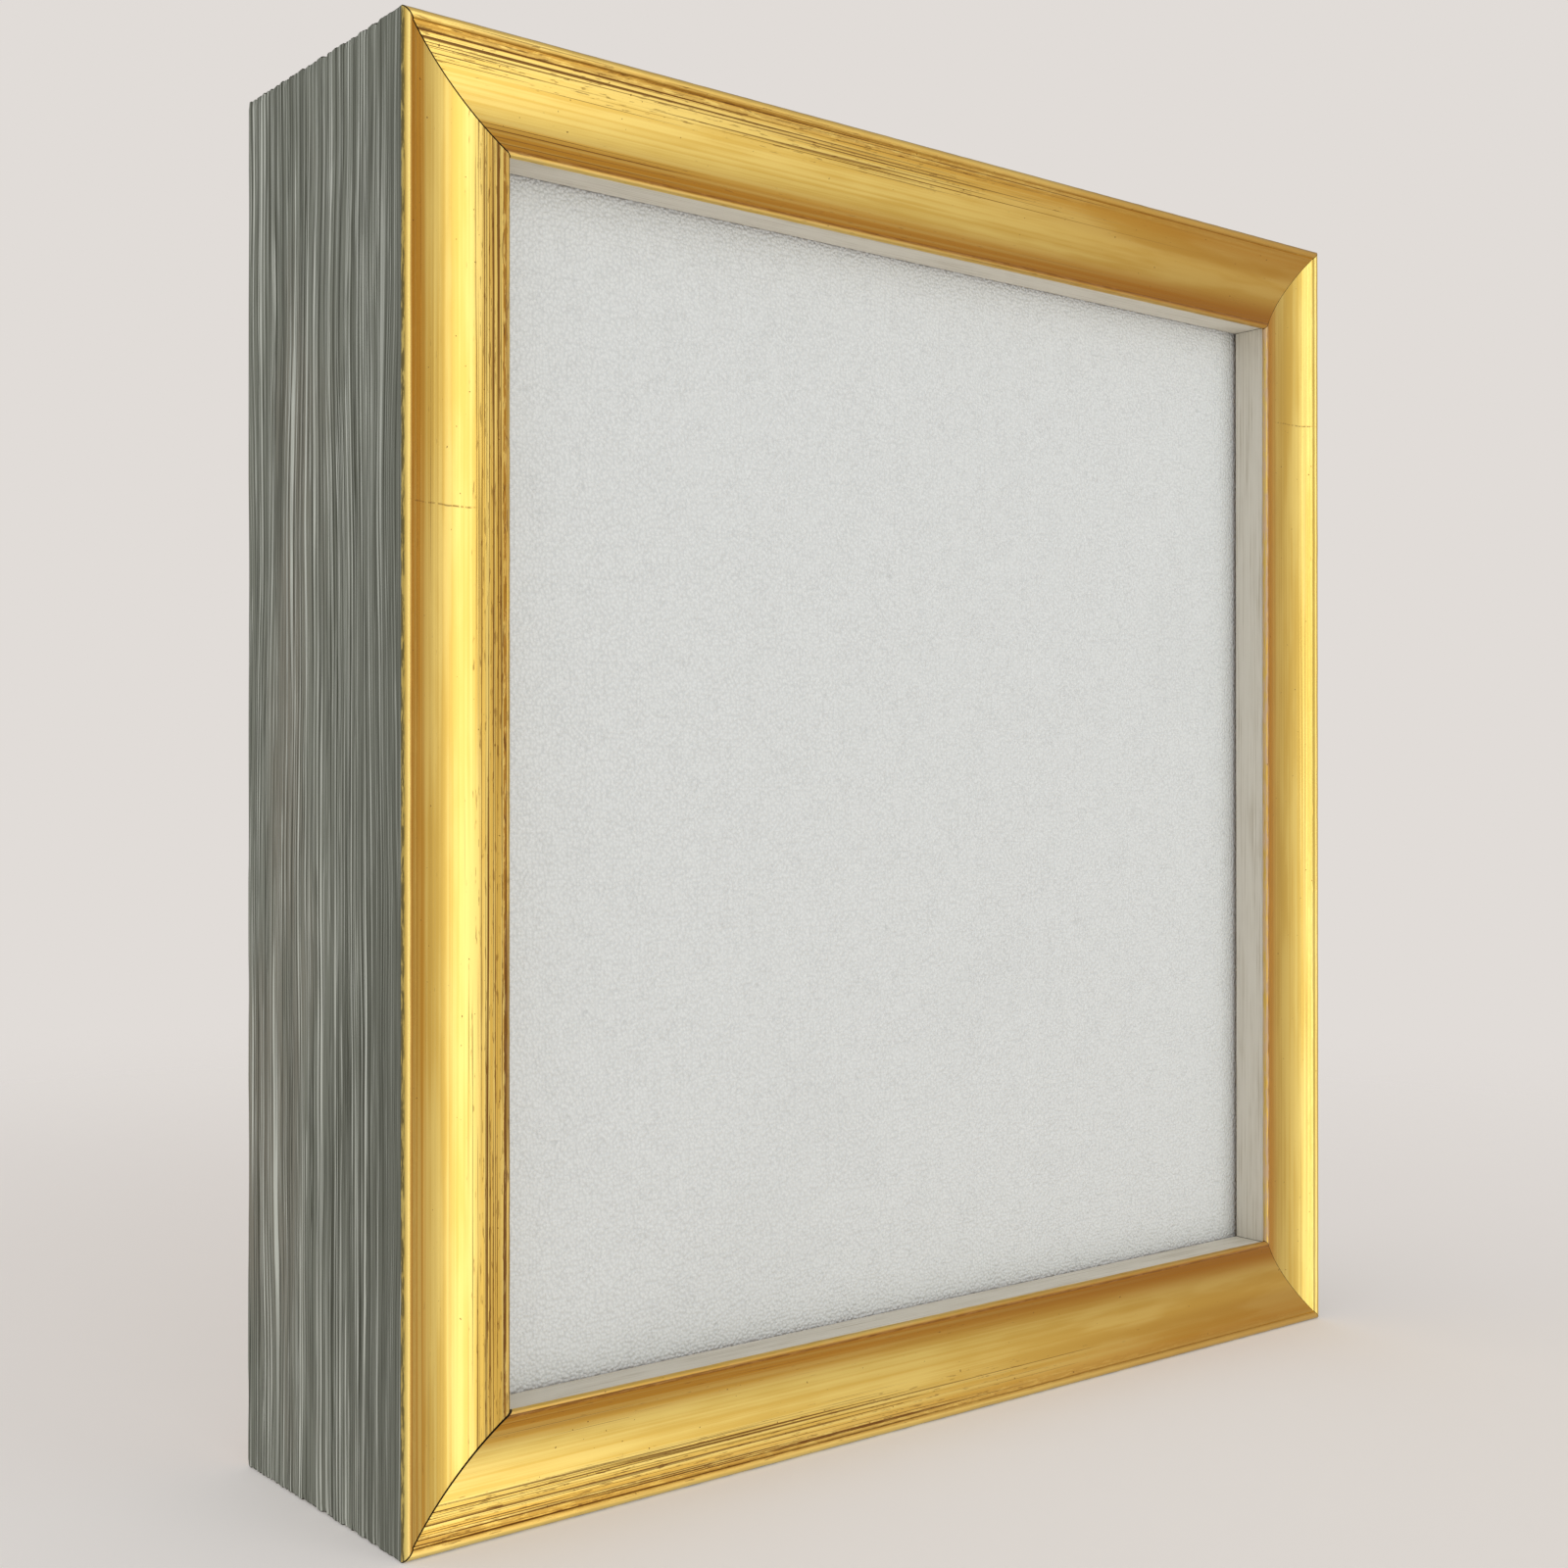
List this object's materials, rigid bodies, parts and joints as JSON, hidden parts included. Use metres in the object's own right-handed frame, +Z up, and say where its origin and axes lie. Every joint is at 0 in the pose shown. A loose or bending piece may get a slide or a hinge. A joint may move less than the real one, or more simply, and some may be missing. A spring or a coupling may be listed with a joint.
{
  "type": "gilded scoop picture frame with a stretched canvas",
  "caption": "Small square gilded scoop-profile gallery frame with a deep timber rabbet, holding a blank stretched canvas behind its lip.",
  "frame": {"origin": "middle of the overall footprint (hanging rings included) on the surface the bottom rail stands on", "axes": "+Z up, the gilded face looks along -Y, the wall side is +Y, +X to the right as seen from the front"},
  "size_m": [0.2286, 0.0543, 0.2286],
  "materials": {
    "gilded_moulding": "satin",
    "primed_canvas": "matte",
    "pine_bar": "matte",
    "beech_key": "matte",
    "zinc_steel": "satin",
    "brass_plate": "satin",
    "staple_wire": "satin",
    "felt_bumper": "matte"
  },
  "bodies": {
    "frame": {"bottom_rail": "gilded_moulding", "right_rail": "gilded_moulding", "top_rail": "gilded_moulding", "left_rail": "gilded_moulding", "corner_v_nails": "staple_wire", "canvas": "primed_canvas", "bottom_stretcher_bar": "pine_bar", "right_stretcher_bar": "pine_bar", "top_stretcher_bar": "pine_bar", "left_stretcher_bar": "pine_bar", "bottom_corner_keys": "beech_key", "right_corner_keys": "beech_key", "top_corner_keys": "beech_key", "left_corner_keys": "beech_key", "canvas_staples": "staple_wire", "turn_button_screws": "zinc_steel", "left_hanger_strap": "brass_plate", "right_hanger_strap": "brass_plate", "hanger_screws": "zinc_steel", "left_bumper": "felt_bumper", "right_bumper": "felt_bumper"},
    "bottom_button": {"bottom_turn_button": "zinc_steel"},
    "right_button": {"right_turn_button": "zinc_steel"},
    "top_button": {"top_turn_button": "zinc_steel"},
    "left_button": {"left_turn_button": "zinc_steel"},
    "left_ring": {"left_d_ring": "brass_plate"},
    "right_ring": {"right_d_ring": "brass_plate"}
  },
  "joints": [
    {"name": "bottom_button_turn", "type": "hinge", "parent": "frame", "child": "bottom_button", "pos_m": [0, 0.02367, 0.006], "axis": [0, 1, 0], "continuous": true},
    {"name": "right_button_turn", "type": "hinge", "parent": "frame", "child": "right_button", "pos_m": [0.1083, 0.02367, 0.1143], "axis": [0, 1, 0], "continuous": true},
    {"name": "top_button_turn", "type": "hinge", "parent": "frame", "child": "top_button", "pos_m": [0, 0.02367, 0.2226], "axis": [0, 1, 0], "continuous": true},
    {"name": "left_button_turn", "type": "hinge", "parent": "frame", "child": "left_button", "pos_m": [-0.1083, 0.02367, 0.1143], "axis": [0, 1, 0], "continuous": true},
    {"name": "left_ring_swing", "type": "hinge", "parent": "frame", "child": "left_ring", "pos_m": [-0.1071, 0.02542, 0.176], "axis": [1, 0, 0], "range_deg": [0, 178]},
    {"name": "right_ring_swing", "type": "hinge", "parent": "frame", "child": "right_ring", "pos_m": [0.1071, 0.02542, 0.176], "axis": [1, 0, 0], "range_deg": [0, 178]}
  ]
}
